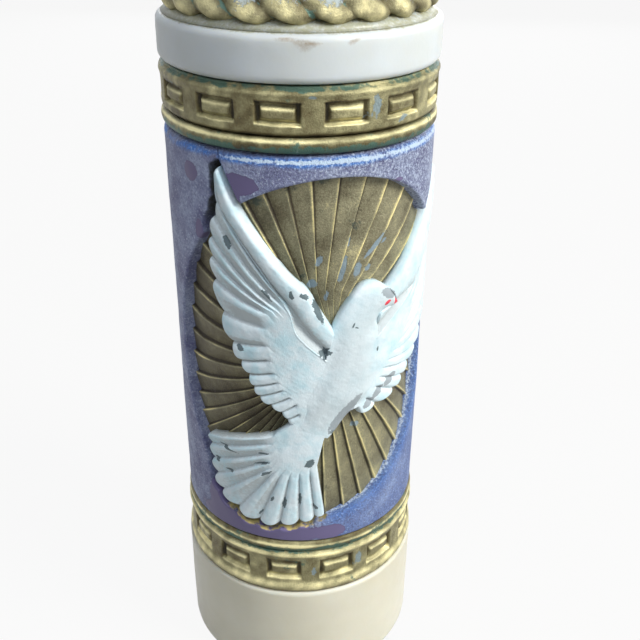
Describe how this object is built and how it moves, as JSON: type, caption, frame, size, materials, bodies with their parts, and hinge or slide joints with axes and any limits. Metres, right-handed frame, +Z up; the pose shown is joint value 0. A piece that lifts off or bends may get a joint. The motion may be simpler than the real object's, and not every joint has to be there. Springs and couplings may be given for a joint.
{
  "type": "pillar candle",
  "caption": "Round pillar candle with an applied relief of a flying dove over an oval medallion of rays, window friezes above and below, and a twisted rope rim around the wick.",
  "frame": {"origin": "centre of the candle's base, on the surface it stands on", "axes": "+Z up along the wick, -Y out through the middle of the oval medallion, +X to the right of someone facing it"},
  "size_m": [0.0616, 0.0618, 0.1773],
  "materials": {
    "core_wax": "cream candle wax, smooth and slightly translucent, with a soft sheen",
    "gold_painted_wax": "wax brushed with bronze-gold metal paint, darker in the hollows and worn green-grey in places",
    "violet_painted_wax": "wax stippled with blue-violet pearl paint, chipped to smooth mauve wax",
    "white_painted_wax": "wax under chalky white paint, with grey-blue chips along its edges",
    "braided_cotton": "unburnt waxed cotton braid",
    "tinned_steel": "thin pressed tinplate, dull"
  },
  "bodies": {
    "root": {"wax_core": "core_wax", "wick": "braided_cotton", "wick_sustainer": "tinned_steel", "rope_ring": "gold_painted_wax", "upper_key_band": "gold_painted_wax", "upper_bead": "gold_painted_wax", "panel_sleeve": "violet_painted_wax", "ray_medallion": "gold_painted_wax", "dove_body": "white_painted_wax", "dove_left_arm": "white_painted_wax", "dove_left_wing": "white_painted_wax", "dove_right_arm": "white_painted_wax", "dove_right_wing": "white_painted_wax", "dove_tail": "white_painted_wax", "lower_bead": "gold_painted_wax", "lower_key_band": "gold_painted_wax"}
  },
  "joints": []
}
